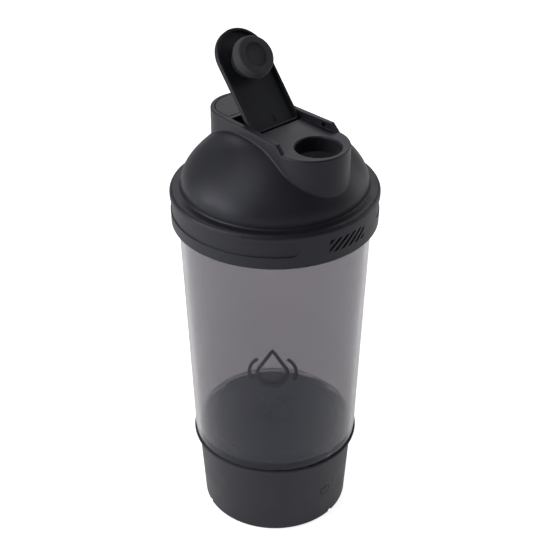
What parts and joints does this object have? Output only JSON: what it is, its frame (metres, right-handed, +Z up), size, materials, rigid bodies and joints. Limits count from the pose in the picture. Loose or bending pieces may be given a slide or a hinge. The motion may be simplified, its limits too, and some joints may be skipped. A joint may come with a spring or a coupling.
{
  "type": "protein shaker bottle",
  "caption": "Powered shaker bottle: clear cup on a round motor base, with a screw lid, a spout tower and a flip-up cap that is open.",
  "frame": {"origin": "centre of the underside, where the foot ring rests", "axes": "+Z up along the bottle, -Y towards the spout and the power button, +X to the right seen from the front"},
  "size_m": [0.0999, 0.0998, 0.2552],
  "materials": {
    "lid_black": "fine moulded matte black plastic",
    "cap_black": "fine moulded matte black plastic",
    "soft_black": "soft matte black silicone",
    "seal_grey": "translucent grey silicone",
    "cup_smoke": "clear smoke-grey copolyester",
    "base_black": "fine moulded satin black plastic",
    "deck_black": "satin black plastic",
    "button_black": "satin black plastic",
    "impeller_black": "glossy black plastic",
    "steel": "ground stainless steel",
    "screw_steel": "zinc-plated steel",
    "motor_steel": "drawn steel",
    "bronze": "sintered bronze",
    "magnet": "coated ferrite",
    "armature": "laminations and enamelled wire",
    "inner_white": "natural white plastic",
    "cell_blue": "shrink sleeve",
    "board_green": "solder mask",
    "part_black": "component body",
    "led_white": "clear white",
    "wire_red": "wire insulation"
  },
  "bodies": {
    "base": {"base_shell": "base_black", "bumper_ring": "soft_black", "mixing_deck": "deck_black", "shaft_seal": "soft_black", "shaft_bushing": "bronze", "motor_can": "motor_steel", "motor_end_cap": "inner_white", "motor_magnets": "magnet", "motor_bracket": "motor_steel", "motor_screws": "screw_steel", "bracket_screws": "screw_steel", "battery_cells": "cell_blue", "battery_cradle": "inner_white", "switch_board": "board_green", "tact_switch": "part_black", "status_led": "led_white", "charge_board": "board_green", "usb_socket": "steel", "bottom_cover": "base_black", "cover_screws": "screw_steel", "foot_ring": "soft_black", "motor_leads": "wire_red", "battery_leads": "wire_red"},
    "button": {"power_button": "button_black"},
    "port_flap": {"port_cover": "soft_black"},
    "mixer": {"impeller": "impeller_black", "drive_shaft": "steel", "motor_rotor": "armature"},
    "cup_seal": {"cup_gasket": "seal_grey"},
    "cup": {"cup": "cup_smoke"},
    "lid_seal": {"lid_gasket": "seal_grey"},
    "lid": {"lid_shell": "lid_black", "rear_cover": "lid_black", "hinge_pins": "steel"},
    "cap": {"flip_cap": "cap_black", "spout_plug": "soft_black"}
  },
  "joints": [
    {"name": "cup_lift", "type": "slide", "parent": "base", "child": "cup_seal", "axis": [0, 0, 1], "range_m": [0, 0.024]},
    {"name": "cup_turn", "type": "hinge", "parent": "cup_seal", "child": "cup", "pos_m": [0, 0, 0.04], "axis": [0, 0, 1], "range_deg": [0, 720]},
    {"name": "lid_lift", "type": "slide", "parent": "cup", "child": "lid_seal", "axis": [0, 0, 1], "range_m": [0, 0.018]},
    {"name": "lid_turn", "type": "hinge", "parent": "lid_seal", "child": "lid", "pos_m": [0, 0, 0.18], "axis": [0, 0, 1], "range_deg": [0, 540]},
    {"name": "cap_flip", "type": "hinge", "parent": "lid", "child": "cap", "pos_m": [0, 0.0011, 0.219], "axis": [-1, 0, 0], "range_deg": [-130.5, 18]},
    {"name": "mixer_spin", "type": "hinge", "parent": "base", "child": "mixer", "pos_m": [0, 0, 0.03], "axis": [0, 0, 1], "continuous": true},
    {"name": "button_press", "type": "slide", "parent": "base", "child": "button", "axis": [0, 1, 0], "range_m": [0, 0.0006], "stiffness_N_per_m": 1500},
    {"name": "port_flap_swing", "type": "hinge", "parent": "base", "child": "port_flap", "pos_m": [0, 0.0386, 0.0099], "axis": [-1, 0, 0], "range_deg": [0, 100], "stiffness_Nm_per_rad": 0.002}
  ],
  "couplings": [
    {"joint": "cup_lift", "follows": "cup_turn", "m_per_rad": 0.0019099},
    {"joint": "lid_lift", "follows": "lid_turn", "m_per_rad": 0.0019099}
  ]
}
